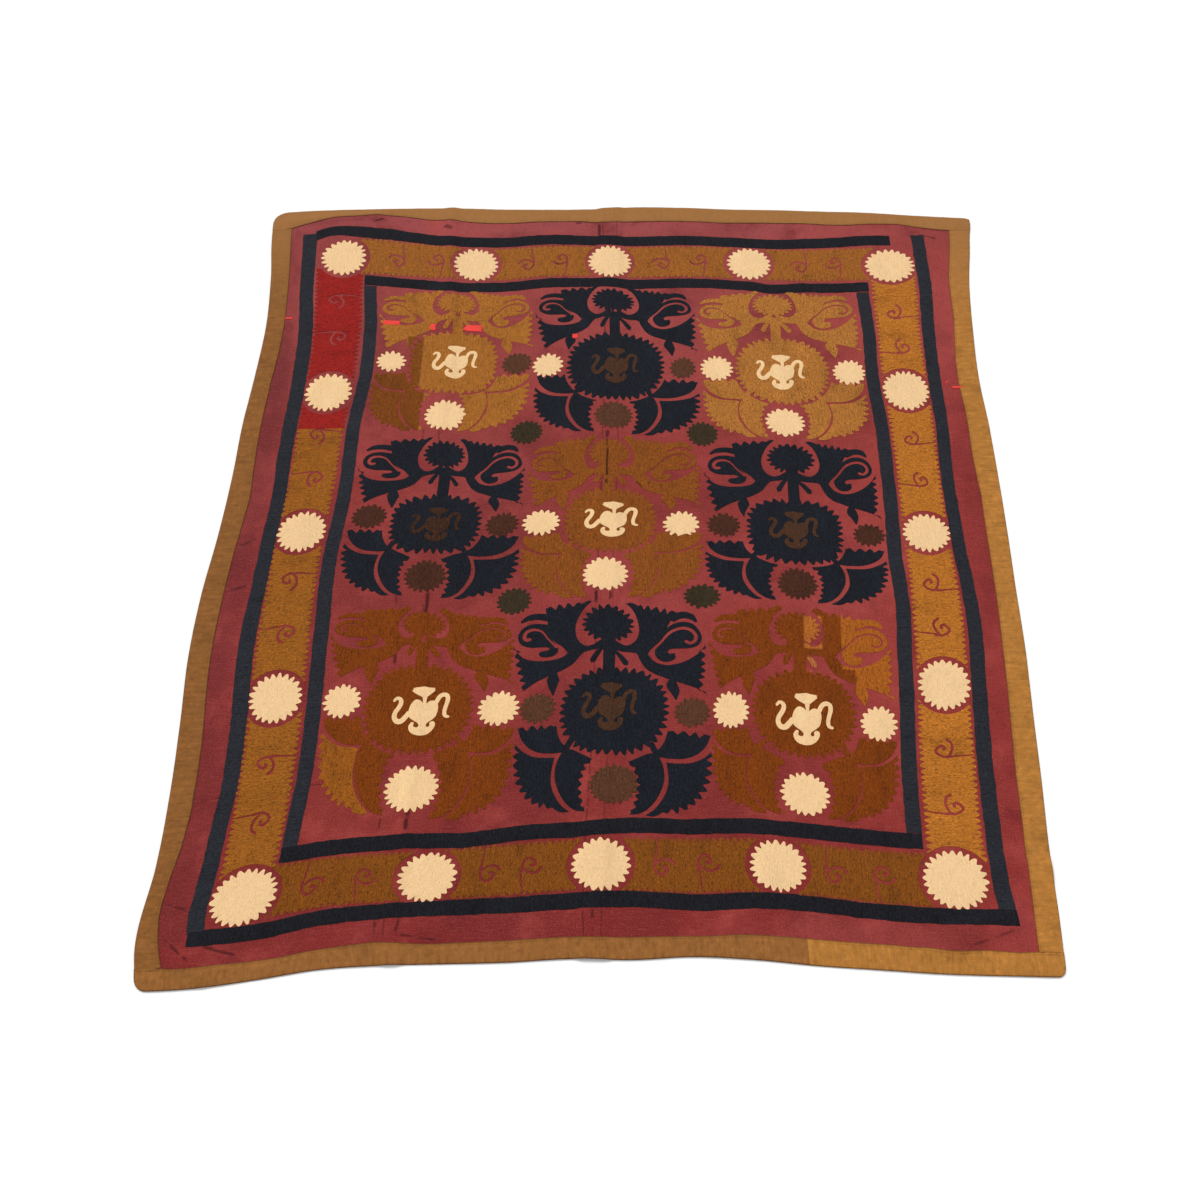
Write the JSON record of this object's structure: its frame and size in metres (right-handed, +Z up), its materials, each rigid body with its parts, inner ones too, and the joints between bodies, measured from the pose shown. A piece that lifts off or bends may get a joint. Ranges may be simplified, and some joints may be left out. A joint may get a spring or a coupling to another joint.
{
  "type": "suzani embroidered textile",
  "caption": "Large embroidered cover lying flat, with a medallion field, banded borders and a narrow binding sewn round its edge.",
  "frame": {"origin": "under the middle of the cover's outline, on the surface it lies on", "axes": "+Z up off the surface, +Y along the cover's length towards the end at the top of the picture, +X across it to the right"},
  "size_m": [1.8928, 2.0844, 0.0086],
  "materials": {
    "ground_cotton": "fine plain-woven burgundy cotton with a slight sheen",
    "binding_brown": "coarse plain-woven khaki-brown cotton, matt",
    "binding_gold": "coarse plain-woven golden cotton, matt",
    "thread_ochre": "couched ochre thread with a soft sheen",
    "thread_black": "couched blue-black thread",
    "thread_cream": "couched cream thread",
    "thread_brown": "couched dark brown thread",
    "thread_green": "couched dark olive-green thread",
    "thread_red": "couched bright red thread",
    "thread_coral": "coral mending thread"
  },
  "bodies": {
    "root": {"ground_cloth": "ground_cotton", "binding_left": "binding_brown", "binding_right": "binding_gold", "binding_top": "binding_brown", "binding_bottom_left": "binding_brown", "binding_bottom_right": "binding_gold"}
  },
  "joints": []
}
